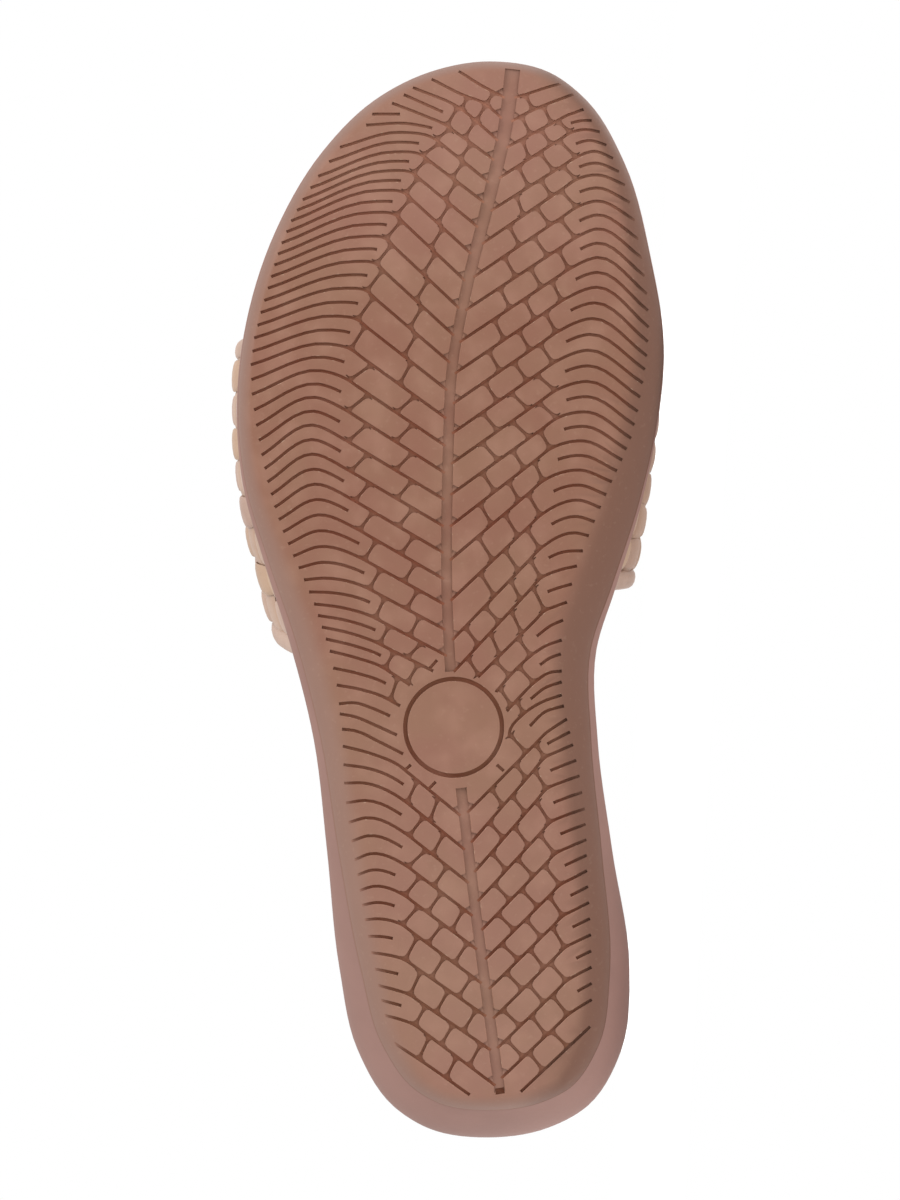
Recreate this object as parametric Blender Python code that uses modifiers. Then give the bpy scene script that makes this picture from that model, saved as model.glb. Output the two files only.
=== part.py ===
"""A woven slide sandal for the right foot, laid down on its inner side.

The shoe is shaped standing: x runs from the back of the heel to the toe, y from the outer to the inner
side of the foot, z up from the ground under the tread. One empty then lays the finished shoe down.
"""

import math

import bmesh
import bpy
import numpy as np
from mathutils import Matrix, Vector

MM = 0.001
GAP = 0.3 * MM

# Sole outline, both sides from the heel to the toe, in mm
# along and across of the outer edge, along and across of the inner edge, how far the tread edge rolls
# under on the outer and on the inner side, how far the wall above flares out
OUTLINE = (
    (2.3, -14.0, 2.3, 14.2, 4.3, 4.3, 7.4),
    (7.5, -22.0, 7.5, 23.4, 4.5, 4.5, 7.0),
    (20.9, -30.3, 20.9, 31.2, 6.0, 5.0, 6.0),
    (39.6, -34.4, 39.6, 32.9, 6.8, 5.3, 4.9),
    (67.5, -37.3, 67.5, 28.7, 7.0, 5.6, 2.6),
    (92.9, -40.3, 92.9, 25.3, 6.8, 6.0, 1.6),
    (115.8, -46.0, 113.7, 25.0, 6.8, 6.8, 1.4),
    (134.4, -51.9, 127.7, 29.3, 5.5, 7.5, 1.0),
    (151.7, -56.6, 148.2, 35.5, 4.2, 7.2, 0.6),
    (170.1, -58.0, 166.7, 39.2, 3.4, 6.4, 0.3),
    (189.0, -55.9, 183.9, 40.5, 3.2, 5.6, 0.2),
    (210.5, -49.1, 204.1, 37.6, 3.0, 4.4, 0.2),
    (229.1, -38.3, 226.8, 31.5, 3.0, 3.4, 0.2),
    (241.0, -26.6, 241.0, 23.2, 3.0, 3.0, 0.2),
    (247.9, -13.6, 247.9, 14.4, 3.0, 3.0, 0.2),
)
# along, across, roll, flare of the two ends
HEEL_END = (0.0, 0.3, 4.2, 7.6)
TOE_END = (250.5, 0.8, 3.0, 0.2)
OUTLINE_STEPS = 3

# Sole heights
TOE_SPRING = 10.0 * MM
SPRING_START = 176.0 * MM
SPRING_POWER = 1.8
OUTSOLE_EDGE = 5.0 * MM
ROLL_END = math.radians(70)
FLARE_SLOPE = 1.5
FLARE_FOOT = 0.4 * MM
FLARE_POWER = 1.6
RIM_LEAN = 1.2 * MM
RIM_ROUND = 0.8 * MM
# along, thickness of outsole and midsole together, lip of the footbed, in mm
THICKNESS = (
    (-5.0, 29.5, 4.0),
    (40.0, 29.0, 4.5),
    (80.0, 26.0, 4.0),
    (120.0, 21.0, 3.0),
    (160.0, 16.5, 1.5),
    (190.0, 14.5, 1.0),
    (256.0, 13.5, 1.2),
)

# Footbed
INSOLE_FLOOR = 4.6 * MM
INSOLE_INSET = 1.8 * MM
INSOLE_ROUND = 1.2 * MM
CUP_POWER = 3.5

# Tread lines: the leaf's vein in two stretches and the ring between them, in mm
VEIN_FRONT = (
    (252.0, 6.9), (235.3, 4.1), (219.2, 0.5), (194.0, -5.7), (177.9, -8.5),
    (160.0, -9.3), (140.0, -9.7), (125.2, -9.6), (109.6, -8.9),
)
VEIN_HEEL = ((82.1, -6.4), (49.5, -2.5), (12.4, 2.1))
VEIN_WIDTH = 3.4 * MM
VEIN_DEPTH = 1.0 * MM
RING_CENTRE = Vector((96.0, -8.1, 0.0)) * MM
RING_RADIUS = 11.1 * MM
RING_WIDTH = 0.9 * MM
RING_DEPTH = 0.8 * MM

# Strap: how far it reaches out on both sides and how high its crown stands over the midsole, in mm
STRAP = (
    (104.0, -50.0, 32.5, 60.5),
    (119.0, -53.6, 35.6, 58.0),
    (132.0, -57.0, 38.3, 55.0),
    (144.0, -59.6, 40.2, 52.0),
    (157.0, -61.2, 41.4, 48.5),
    (170.0, -61.8, 42.3, 45.5),
    (182.0, -61.4, 42.6, 42.5),
    (192.0, -60.0, 42.0, 40.0),
    (206.0, -56.0, 39.5, 37.0),
)
STRAP_REAR = (111.5 * MM, 127.0 * MM)
STRAP_FRONT = (187.0 * MM, 200.5 * MM)
REAR_NARROWING = 7.0 * MM
FRONT_NARROWING = 6.0 * MM
STRAP_WALL = 2.2 * MM
STRAP_INSET = 1.4 * MM
STRAP_TURN = 3.0 * MM
STRAP_MARGIN = 8.0 * MM
RIDGE_SHIFT = 8.0 * MM
SECTION_POWER = 0.72
TUCK_POWER = 5
STRIPS_ACROSS = 8
STRIPS_ALONG = 18
EDGE_SHARE = 0.066
STRIP_SHOULDER = 0.22
STRIP_RAISE = (1.0 * MM, 0.65 * MM)
EDGE_RAISE = 0.7 * MM
RECESS_TOP = 0.30

# How the shoe lies: the floor's turn and tilt against the shoe, and where the heel point comes to be
LIE_YAW = math.radians(3.1107)
LIE_TILT = math.radians(3.0445)
LIE_PLACE = Vector((-124.999, -36.837, 30.289)) * MM


def clear_scene():
    for old in list(bpy.data.objects):
        bpy.data.objects.remove(old)


def material(name, colour, roughness):
    made = bpy.data.materials.new(name)
    made.use_nodes = True
    shader = made.node_tree.nodes["Principled BSDF"]
    shader.inputs["Base Color"].default_value = (*colour, 1.0)
    shader.inputs["Roughness"].default_value = roughness
    return made


def hermite(first, last, leave, arrive, share):
    """Cubic from first to last with the slopes given over the whole step."""
    square, cube = share ** 2, share ** 3
    return (
        first * (2 * cube - 3 * square + 1)
        + leave * (cube - 2 * square + share)
        + last * (3 * square - 2 * cube)
        + arrive * (cube - square)
    )


def smooth_loop(rows, steps):
    """A closed smooth curve through the rows, with this many steps from row to row."""
    rows = np.array(rows)
    ahead = np.roll(rows, -1, axis=0)
    length = np.linalg.norm((ahead - rows)[:, :2], axis=1)[:, None]
    slope = (ahead - rows) / length
    length_before = np.roll(length, 1, axis=0)
    tangent = (slope * length_before + np.roll(slope, 1, axis=0) * length) / (length + length_before)
    shares = np.arange(steps) / steps
    points = [hermite(rows, ahead, tangent * length, np.roll(tangent, -1, axis=0) * length, s) for s in shares]
    return np.stack(points, axis=1).reshape(-1, rows.shape[1])


def blend(table, column, at):
    """Smooth value of a table's column, with the first column as its scale; sizes in mm, answer in metres."""
    rows = np.array(table)
    scale, values = rows[:, 0], rows[:, column]
    slope = np.gradient(values, scale)
    at = np.clip(np.asarray(at) / MM, scale[0], scale[-1])
    i = np.clip(np.searchsorted(scale, at) - 1, 0, len(scale) - 2)
    length = scale[i + 1] - scale[i]
    share = (at - scale[i]) / length
    return hermite(values[i], values[i + 1], slope[i] * length, slope[i + 1] * length, share) * MM


def outline_loop():
    """Plan points, outward normals, roll and flare all round: heel end, outer side, toe end, inner side."""
    outer = [(row[0], row[1], row[4], row[6]) for row in OUTLINE]
    inner = [(row[2], row[3], row[5], row[6]) for row in OUTLINE]
    loop = smooth_loop([HEEL_END, *outer, TOE_END, *reversed(inner)], OUTLINE_STEPS) * MM
    plan = loop[:, :2]
    run = np.roll(plan, -1, axis=0) - np.roll(plan, 1, axis=0)
    run /= np.linalg.norm(run, axis=1)[:, None]
    normals = np.stack([-run[:, 1], run[:, 0]], axis=1)
    if (normals * (plan - plan.mean(axis=0))).sum() < 0:
        normals = -normals
    return plan, normals, loop[:, 2], loop[:, 3]


PLAN, OUTWARD, ROLL, FLARE = outline_loop()
HALF = len(PLAN) // 2


def tread_height(x):
    """Height of the tread over the ground: flat from the heel to the ball, then the toe spring."""
    share = np.clip((np.asarray(x) - SPRING_START) / (TOE_END[0] * MM - SPRING_START), 0, 1.1)
    return TOE_SPRING * share ** SPRING_POWER


def midsole_top(x):
    return tread_height(x) + blend(THICKNESS, 1, x)


def side_edge(side, x):
    """Across place of the outline at x: side is -1 for the outer and 1 for the inner edge."""
    edge = PLAN[: HALF + 1] if side < 0 else np.vstack([PLAN[HALF:], PLAN[:1]])[::-1]
    return np.interp(x, edge[:, 0], edge[:, 1])


def ring(inset, height):
    """Points round the outline, moved in by the inset; height takes x and gives z."""
    plan = PLAN - OUTWARD * np.broadcast_to(inset, len(PLAN))[:, None]
    return np.column_stack([plan, height(plan[:, 0])])


def close_ring(bm, verts, columns, height=None):
    """Closes a ring with rungs from its outer to its inner side; height takes x and the share across."""
    rungs = []
    for left, right in zip(verts[1:HALF], verts[:HALF:-1]):
        rung = [left]
        for share in np.arange(1, columns) / columns:
            point = left.co.lerp(right.co, share)
            if height:
                point.z = height(point.x, share)
            rung.append(bm.verts.new(point))
        rungs.append(rung + [right])
    for rear, front in zip(rungs, rungs[1:]):
        for c in range(columns):
            bm.faces.new((rear[c], rear[c + 1], front[c + 1], front[c]))
    for end, rung in ((verts[0], rungs[0]), (verts[HALF], rungs[-1])):
        for c in range(columns):
            bm.faces.new((end, rung[c], rung[c + 1]))


def layer(name, rings, columns, top_height=None):
    """A closed layer of the sole from rings, lowest first, with flat rungs below and shaped ones on top."""
    bm = bmesh.new()
    loops = [[bm.verts.new(point) for point in points] for points in rings]
    for low, high in zip(loops, loops[1:]):
        for i in range(len(low)):
            bm.faces.new((low[i - 1], low[i], high[i], high[i - 1]))
    close_ring(bm, loops[0], 2)
    close_ring(bm, loops[-1], columns, top_height)
    bmesh.ops.recalc_face_normals(bm, faces=bm.faces)
    return object_of(name, bm)


def object_of(name, bm):
    mesh = bpy.data.meshes.new(name)
    bm.to_mesh(mesh)
    bm.free()
    return bpy.data.objects.new(name, mesh)


def make_outsole():
    rings = []
    for angle in np.linspace(0, ROLL_END, 4):
        out = math.sin(angle) / math.sin(ROLL_END)
        up = (1 - math.cos(angle)) / (1 - math.cos(ROLL_END))
        rings.append(ring(FLARE + ROLL * (1 - out), lambda x, up=up: tread_height(x) + OUTSOLE_EDGE * up))
    return layer("outsole", rings, 2)


def make_midsole():
    foot = OUTSOLE_EDGE + GAP
    rise = FLARE_SLOPE * FLARE + FLARE_FOOT
    rings = []
    for share in (0, 1 / 3, 2 / 3, 1):
        up = foot + rise * share
        rings.append(ring(FLARE * (1 - share) ** FLARE_POWER, lambda x, up=up: tread_height(x) + up))
    for share in (0.5, 1.0):
        points = ring(RIM_LEAN * share ** 1.5, midsole_top)
        low = tread_height(points[:, 0]) + foot + rise
        rim = points[:, 2] - RIM_ROUND
        points[:, 2] = low + (rim - low) * share
        rings.append(points)
    rings.append(ring(RIM_LEAN + RIM_ROUND, midsole_top))
    return layer("midsole", rings, 2)


def footbed_edge(x):
    return midsole_top(x) + GAP + INSOLE_FLOOR + blend(THICKNESS, 2, x)


def footbed_height(x, share):
    """The cupped top: a floor that rises to the lip at both sides."""
    lip = blend(THICKNESS, 2, x)
    return midsole_top(x) + GAP + INSOLE_FLOOR + lip * abs(2 * share - 1) ** CUP_POWER


def make_insole():
    rings = [
        ring(INSOLE_INSET + INSOLE_ROUND / 2, lambda x: midsole_top(x) + GAP),
        ring(INSOLE_INSET, lambda x: midsole_top(x) + GAP + INSOLE_ROUND / 2),
        ring(INSOLE_INSET, lambda x: footbed_edge(x) - INSOLE_ROUND),
        ring(INSOLE_INSET + INSOLE_ROUND, footbed_edge),
    ]
    return layer("insole", rings, 6, footbed_height)


def groove_strip(name, path, width, depth):
    """Cutter along a path over the tread, as wide as the groove and as deep below the tread's surface."""
    rows = np.array(path) * MM
    steps = np.linspace(0, len(rows) - 1, 4 * len(rows))
    x = np.interp(steps, range(len(rows)), rows[:, 0])
    y = np.interp(steps, range(len(rows)), rows[:, 1])
    run = np.gradient(np.column_stack([x, y]), axis=0)
    run /= np.linalg.norm(run, axis=1)[:, None]
    side = np.column_stack([-run[:, 1], run[:, 0]]) * width / 2
    bm = bmesh.new()
    loops = []
    for (px, py), (sx, sy) in zip(np.column_stack([x, y]), side):
        low, high = -3 * MM, float(tread_height(px)) + depth
        corners = ((px - sx, py - sy, low), (px + sx, py + sy, low), (px + sx, py + sy, high), (px - sx, py - sy, high))
        loops.append([bm.verts.new(corner) for corner in corners])
    for near, far in zip(loops, loops[1:]):
        for i in range(4):
            bm.faces.new((near[i - 1], near[i], far[i], far[i - 1]))
    bm.faces.new(loops[0])
    bm.faces.new(loops[-1])
    bmesh.ops.recalc_face_normals(bm, faces=bm.faces)
    return object_of(name, bm)


def groove_ring():
    """Cutter for the ring: a turned square section."""
    bm = bmesh.new()
    inside, outside = RING_RADIUS - RING_WIDTH / 2, RING_RADIUS + RING_WIDTH / 2
    corners = [(inside, 0, -3 * MM), (outside, 0, -3 * MM), (outside, 0, RING_DEPTH), (inside, 0, RING_DEPTH)]
    verts = [bm.verts.new(corner) for corner in corners]
    edges = [bm.edges.new((verts[i - 1], verts[i])) for i in range(4)]
    bmesh.ops.spin(
        bm, geom=verts + edges, angle=2 * math.pi, steps=40, axis=(0, 0, 1), cent=(0, 0, 0), use_merge=True
    )
    bmesh.ops.recalc_face_normals(bm, faces=bm.faces)
    bmesh.ops.translate(bm, verts=bm.verts, vec=RING_CENTRE)
    return object_of("cut_ring", bm)


def strap_point(share, path):
    """Point of the strap's outer face: share runs from its rear to its front edge.

    path runs from -1 at the outer sole edge over the foot to 1 at the inner one; beyond that the strap
    turns in (up to 2) and lies flat between midsole and insole (up to 3).
    """
    side = math.copysign(1, path)
    arc = max(-1.0, min(1.0, path))
    even = (arc + 1) / 2
    rear = STRAP_REAR[0] + (STRAP_REAR[1] - STRAP_REAR[0]) * even + REAR_NARROWING * (1 - arc ** 2)
    front = STRAP_FRONT[0] + (STRAP_FRONT[1] - STRAP_FRONT[0]) * even - FRONT_NARROWING * (1 - arc ** 2)
    x = rear + share * (front - rear)
    floor = float(midsole_top(x)) + GAP
    base = float(side_edge(side, x)) - side * STRAP_INSET
    if abs(path) > 1:
        turn = min(abs(path) - 1, 1) * math.pi / 2
        inward = STRAP_TURN * (1 - math.cos(turn)) + STRAP_MARGIN * max(abs(path) - 2, 0)
        return Vector((x, base - side * inward, floor + STRAP_TURN * (1 - math.sin(turn))))
    angle = math.pi * even
    reaches = float(blend(STRAP, 1, x)), float(blend(STRAP, 2, x))
    ridge = sum(reaches) / 2 + RIDGE_SHIFT
    reach = reaches[0] if side < 0 else reaches[1]
    y = ridge + (reach - ridge) * abs(math.cos(angle)) ** SECTION_POWER
    y += (base - reach) * (1 - math.sin(angle)) ** TUCK_POWER
    foot = floor + STRAP_TURN
    crown = float(midsole_top(x)) + float(blend(STRAP, 3, x))
    return Vector((x, y, foot + (crown - foot) * math.sin(angle) ** SECTION_POWER))


def strip_lines(start, end, count):
    """Grid lines over a row of strips: each strip's border and its two shoulders, then the last border."""
    pitch = (end - start) / count
    lines = []
    for i in range(count):
        for part in (0, STRIP_SHOULDER, 1 - STRIP_SHOULDER):
            lines.append((start + pitch * (i + part), i if part else None))
    return lines + [(end, None)]


def strap_sheet(name, rows, columns, raises):
    """The strap's outer face as a grid over rows and columns, each vertex raised by raises(row, column)."""
    bm = bmesh.new()
    bmesh.ops.create_grid(bm, x_segments=len(columns) - 1, y_segments=len(rows) - 1, size=1)
    places = {}
    for vert in bm.verts:
        c = round((vert.co.x + 1) / 2 * (len(columns) - 1))
        r = round((vert.co.y + 1) / 2 * (len(rows) - 1))
        places[vert] = rows[r], columns[c]
        vert.co = strap_point(rows[r][0], columns[c][0])
    bmesh.ops.reverse_faces(bm, faces=bm.faces)
    bm.normal_update()
    moves = {vert: vert.normal * raises(*place) for vert, place in places.items()}
    for vert, move in moves.items():
        vert.co += move
    return object_of(name, bm)


def thicken(obj, wall):
    solidify = obj.modifiers.new("wall", "SOLIDIFY")
    solidify.thickness = wall
    solidify.offset = -1


def make_upper():
    edge = [(0.0, "rim"), (EDGE_SHARE / 2, "edge")]
    far_edge = [(1 - EDGE_SHARE / 2, "edge"), (1.0, "rim")]
    rows = edge + strip_lines(EDGE_SHARE, 1 - EDGE_SHARE, STRIPS_ACROSS) + far_edge
    turn_in = [(-3.0, "margin"), (-2.0, "margin"), (-1.5, "margin")]
    turn_out = [(1.5, "margin"), (2.0, "margin"), (3.0, "margin")]
    columns = turn_in + strip_lines(-1.0, 1.0, STRIPS_ALONG) + turn_out

    def raises(row, column):
        if column[1] in ("margin", None) and abs(column[0]) >= 1:
            return 0.0
        if row[1] == "edge":
            return EDGE_RAISE
        if row[1] in ("rim", None) or column[1] is None:
            return 0.0
        return STRIP_RAISE[(row[1] + column[1]) % 2]

    upper = strap_sheet("upper", rows, columns, raises)
    thicken(upper, STRAP_WALL)
    return upper


def recess_cutter(name, side):
    """The strap's foot on one side with a gap all round it, for the recess in the insole."""
    rows = [(share, None) for share in np.linspace(-0.008, 1.008, 13)]
    paths = (3.1, 2.0, 1.75, 1.5, 1.25, 1.0, 1 - RECESS_TOP / 2, 1 - RECESS_TOP)
    columns = [(side * path, None) for path in paths]
    if side > 0:
        columns.reverse()
    cutter = strap_sheet(name, rows, columns, lambda row, column: GAP)
    thicken(cutter, STRAP_WALL + 2 * GAP)
    return cutter


def cut(obj, cutter):
    boolean = obj.modifiers.new(cutter.name, "BOOLEAN")
    boolean.operation = "DIFFERENCE"
    boolean.solver = "EXACT"
    boolean.object = cutter


def main():
    clear_scene()
    shoe = bpy.data.collections.new("woven_slide")
    cutters = bpy.data.collections.new("cutters")
    for collection in (shoe, cutters):
        bpy.context.scene.collection.children.link(collection)

    outsole, midsole, insole, upper = make_outsole(), make_midsole(), make_insole(), make_upper()
    outsole.data.materials.append(material("brown_rubber", (0.35, 0.18, 0.125), 0.6))
    midsole.data.materials.append(material("pink_brown_foam", (0.37, 0.235, 0.195), 0.65))
    insole.data.materials.append(material("tan_leather", (0.5, 0.33, 0.22), 0.6))
    upper.data.materials.append(material("beige_leather", (0.48, 0.31, 0.225), 0.5))

    tread_cuts = [
        groove_strip("cut_vein_front", VEIN_FRONT, VEIN_WIDTH, VEIN_DEPTH),
        groove_strip("cut_vein_heel", VEIN_HEEL, VEIN_WIDTH, VEIN_DEPTH),
        groove_ring(),
    ]
    recess_cuts = [recess_cutter("cut_recess_outer", -1), recess_cutter("cut_recess_inner", 1)]
    for obj, tools in ((outsole, tread_cuts), (insole, recess_cuts)):
        for tool in tools:
            cut(obj, tool)

    lying = bpy.data.objects.new("lying", None)
    shoe.objects.link(lying)
    floor_normal = Vector((-math.sin(LIE_YAW), math.cos(LIE_YAW) * math.cos(LIE_TILT), -math.sin(LIE_TILT)))
    up = -floor_normal.normalized()
    forward = (Vector((1, 0, 0)) - up * up.x).normalized()
    lying.matrix_world = Matrix.Translation(LIE_PLACE) @ Matrix((forward, up.cross(forward), up)).to_4x4()
    for obj in (outsole, midsole, insole, upper):
        shoe.objects.link(obj)
        obj.parent = lying
    for tool in tread_cuts + recess_cuts:
        cutters.objects.link(tool)
        tool.parent = lying
        tool.hide_render = True
        tool.display_type = "WIRE"


main()
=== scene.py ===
# %% [markdown]
# # A woven slide sandal, seen from below
# The shoe lies on its inner side and shows its tread: a leaf with a vein, ribs cut into bricks and fine
# grooves that curve out to the edge. Each piece is shaped standing, as on a foot, from the same sizes as
# the solids it covers, and is laid down at the end. Along runs from the heel to the toe, across from the
# outer to the inner side, and up from the ground.

# %% Load the frame
import math

import bpy
import numpy as np
from mathutils import Matrix, Vector


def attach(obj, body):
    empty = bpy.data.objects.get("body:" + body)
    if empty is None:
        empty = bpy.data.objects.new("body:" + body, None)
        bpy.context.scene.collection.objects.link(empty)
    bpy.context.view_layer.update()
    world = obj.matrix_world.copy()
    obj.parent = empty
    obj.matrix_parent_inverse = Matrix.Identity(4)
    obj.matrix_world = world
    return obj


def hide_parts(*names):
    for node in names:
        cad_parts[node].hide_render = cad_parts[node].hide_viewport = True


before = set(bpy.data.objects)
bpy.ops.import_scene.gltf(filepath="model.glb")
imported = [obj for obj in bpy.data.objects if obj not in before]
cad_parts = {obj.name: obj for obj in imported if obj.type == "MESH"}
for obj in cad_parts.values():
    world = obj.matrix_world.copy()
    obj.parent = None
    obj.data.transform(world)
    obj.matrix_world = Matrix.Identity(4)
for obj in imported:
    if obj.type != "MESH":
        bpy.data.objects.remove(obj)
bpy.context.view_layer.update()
bpy.context.scene.view_settings.view_transform = "Standard"

MM = 0.001
GAP = 0.3 * MM
rng = np.random.default_rng(7)
print("solids:", sorted(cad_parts))

# %% [markdown]
# ## How the shoe lies
# The floor touches the strap and two places of the sole's inner edge, so it is turned and tilted a little
# against the shoe. One matrix holds that, and every finished piece gets it applied to its mesh.

# %% Lay the shoe down
LIE_YAW = math.radians(3.1107)
LIE_TILT = math.radians(3.0445)
LIE_PLACE = Vector((-124.999, -36.837, 30.289)) * MM

floor_normal = Vector((-math.sin(LIE_YAW), math.cos(LIE_YAW) * math.cos(LIE_TILT), -math.sin(LIE_TILT)))
up = -floor_normal.normalized()
forward = (Vector((1, 0, 0)) - up * up.x).normalized()
LYING = Matrix.Translation(LIE_PLACE) @ Matrix((forward, up.cross(forward), up)).to_4x4()


def pick(piece):
    """Makes a piece the only selected object, and the active one."""
    bpy.ops.object.select_all(action="DESELECT")
    piece.select_set(True)
    bpy.context.view_layer.objects.active = piece


def lay_down(piece):
    pick(piece)
    piece.matrix_world = LYING
    bpy.ops.object.transform_apply(location=True, rotation=True, scale=True)


print(f"floor turned {math.degrees(LIE_YAW):.1f} and tilted {math.degrees(LIE_TILT):.1f} degrees")

# %% [markdown]
# ## Smooth curves through a few measured places
# A shoemaker draws the sole with a few measured widths and a flexible ruler. A few helpers do the same:
# they bend a curve through points, measure along it, or read a smooth value from a table along the shoe.

# %% Curves
def hermite(first, last, leave, arrive, share):
    """Cubic from first to last with the slopes given over the whole step."""
    square, cube = share ** 2, share ** 3
    return (
        first * (2 * cube - 3 * square + 1)
        + leave * (cube - 2 * square + share)
        + last * (3 * square - 2 * cube)
        + arrive * (cube - square)
    )


def smooth_line(points, steps):
    """An open smooth curve through points, with this many steps from one to the next."""
    points = np.array(points)
    if len(points) == 2:
        return points
    length = np.linalg.norm(np.diff(points[:, :2], axis=0), axis=1)[:, None]
    slope = np.diff(points, axis=0) / length
    before, after = length[:-1], length[1:]
    inner = (slope[:-1] * after + slope[1:] * before) / (before + after)
    tangent = np.vstack([slope[:1], inner, slope[-1:]])
    leave, arrive = tangent[:-1] * length, tangent[1:] * length
    curve = [hermite(points[:-1], points[1:], leave, arrive, step / steps) for step in range(steps)]
    return np.vstack([np.stack(curve, axis=1).reshape(-1, points.shape[1]), points[-1:]])


def smooth_loop(rows, steps):
    """A closed smooth curve through rows of plan places and other values."""
    return smooth_line([rows[-1], *rows, rows[0], rows[1]], steps)[steps:-steps - 1]


def distances(line):
    """How far each point of a line is from its start, along it."""
    return np.concatenate([[0], np.cumsum(np.linalg.norm(np.diff(line, axis=0), axis=1))])


def table_curve(rows, at):
    """Smooth values of a table's columns, with the first column as the scale."""
    rows = np.array(rows, float)
    scale, values = rows[:, 0], rows[:, 1:]
    slope = np.gradient(values, scale, axis=0)
    at = np.clip(np.asarray(at, float), scale[0], scale[-1])
    i = np.clip(np.searchsorted(scale, at) - 1, 0, len(scale) - 2)
    length = (scale[i + 1] - scale[i])[..., None]
    share = (at - scale[i])[..., None] / length
    return hermite(values[i], values[i + 1], slope[i] * length, slope[i + 1] * length, share)


def blend(rows, column, at):
    """One column of a table in mm at a place along the shoe, both in metres."""
    return table_curve(rows, np.asarray(at) / MM)[..., column - 1] * MM


# %% [markdown]
# ## The outline of the sole
# Both sides of the outline are measured from the heel to the toe. The tread's edge rolls up to the joint
# line between rubber and foam, and behind that line the foam flares out, most of all round the heel.

# %% Outline
# along and across of the outer edge, the same of the inner edge, how far the tread's edge rolls up on the
# outer and on the inner side, how far the foam flares out, in mm
OUTLINE = (
    (2.3, -14.0, 2.3, 14.2, 4.3, 4.3, 7.4),
    (7.5, -22.0, 7.5, 23.4, 4.5, 4.5, 7.0),
    (20.9, -30.3, 20.9, 31.2, 6.0, 5.0, 6.0),
    (39.6, -34.4, 39.6, 32.9, 6.8, 5.3, 4.9),
    (67.5, -37.3, 67.5, 28.7, 7.0, 5.6, 2.6),
    (92.9, -40.3, 92.9, 25.3, 6.8, 6.0, 1.6),
    (115.8, -46.0, 113.7, 25.0, 6.8, 6.8, 1.4),
    (134.4, -51.9, 127.7, 29.3, 5.5, 7.5, 1.0),
    (151.7, -56.6, 148.2, 35.5, 4.2, 7.2, 0.6),
    (170.1, -58.0, 166.7, 39.2, 3.4, 6.4, 0.3),
    (189.0, -55.9, 183.9, 40.5, 3.2, 5.6, 0.2),
    (210.5, -49.1, 204.1, 37.6, 3.0, 4.4, 0.2),
    (229.1, -38.3, 226.8, 31.5, 3.0, 3.4, 0.2),
    (241.0, -26.6, 241.0, 23.2, 3.0, 3.0, 0.2),
    (247.9, -13.6, 247.9, 14.4, 3.0, 3.0, 0.2),
)
# along, across, roll and flare of the two ends
HEEL_END = (0.0, 0.3, 4.2, 7.6)
TOE_END = (250.5, 0.8, 3.0, 0.2)
OUTLINE_STEPS = 7

outer_side = [(row[0], row[1], row[4], row[6]) for row in OUTLINE]
inner_side = [(row[2], row[3], row[5], row[6]) for row in OUTLINE]
loop = smooth_loop([HEEL_END, *outer_side, TOE_END, *reversed(inner_side)], OUTLINE_STEPS) * MM
PLAN, ROLL, FLARE = loop[:, :2], loop[:, 2], loop[:, 3]
run = np.roll(PLAN, -1, axis=0) - np.roll(PLAN, 1, axis=0)
run /= np.linalg.norm(run, axis=1)[:, None]
OUTWARD = np.stack([-run[:, 1], run[:, 0]], axis=1)
OUTWARD *= np.sign((OUTWARD * (PLAN - PLAN.mean(axis=0))).sum())
HALF = len(PLAN) // 2
print(f"outline of {len(PLAN)} points, {np.ptp(PLAN[:, 0]) / MM:.1f} by {np.ptp(PLAN[:, 1]) / MM:.1f} mm")

# %% [markdown]
# ## The heights of the sole
# The tread is flat from the heel to the ball and then lifts to the toe. The layers above it get thinner
# from the heel to the ball.

# %% Heights
TOE_SPRING = 10.0 * MM
SPRING_START = 176.0 * MM
SPRING_POWER = 1.8
# along, thickness of rubber and foam together, lip of the footbed, in mm
THICKNESS = (
    (-5.0, 29.5, 4.0),
    (40.0, 29.0, 4.5),
    (80.0, 26.0, 4.0),
    (120.0, 21.0, 3.0),
    (160.0, 16.5, 1.5),
    (190.0, 14.5, 1.0),
    (256.0, 13.5, 1.2),
)


def tread_height(x):
    share = np.clip((np.asarray(x) - SPRING_START) / (TOE_END[0] * MM - SPRING_START), 0, 1.1)
    return TOE_SPRING * share ** SPRING_POWER


def midsole_top(x):
    return tread_height(x) + blend(THICKNESS, 1, x)


def ring(inset, height):
    """Points round the outline, moved in by the inset; height takes x and gives z."""
    plan = PLAN - OUTWARD * np.broadcast_to(inset, len(PLAN))[:, None]
    return np.column_stack([plan, height(plan[:, 0])])


heel_top, ball_top = midsole_top(np.array((20.0, 180.0)) * MM) / MM
print(f"top of the midsole: {heel_top:.1f} mm at the heel, {ball_top:.1f} mm at the ball")

# %% [markdown]
# ## A tool for the layers
# A layer of a sole is a plate with a shaped edge. A filled circle with as many points as the outline is
# extruded once for every ring of the edge, and the points are then moved to their places. Its two end
# faces are sliced across the shoe so that they can follow the curve of the foot.

# %% Lofting and slicing
WELD = 0.002 * MM


def points_of(piece):
    """The places of all points of a piece."""
    places = np.empty(len(piece.data.vertices) * 3, np.float32)
    piece.data.vertices.foreach_get("co", places)
    return places.reshape(-1, 3).astype(float)


def face_outwards(piece):
    """Merges doubled points, closes what is open and turns every face outwards."""
    pick(piece)
    bpy.ops.object.mode_set(mode="EDIT")
    bpy.ops.mesh.select_all(action="SELECT")
    bpy.ops.mesh.remove_doubles(threshold=WELD)
    bpy.ops.mesh.fill_holes(sides=0)
    bpy.ops.mesh.normals_make_consistent(inside=False)
    bpy.ops.object.mode_set(mode="OBJECT")


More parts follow.
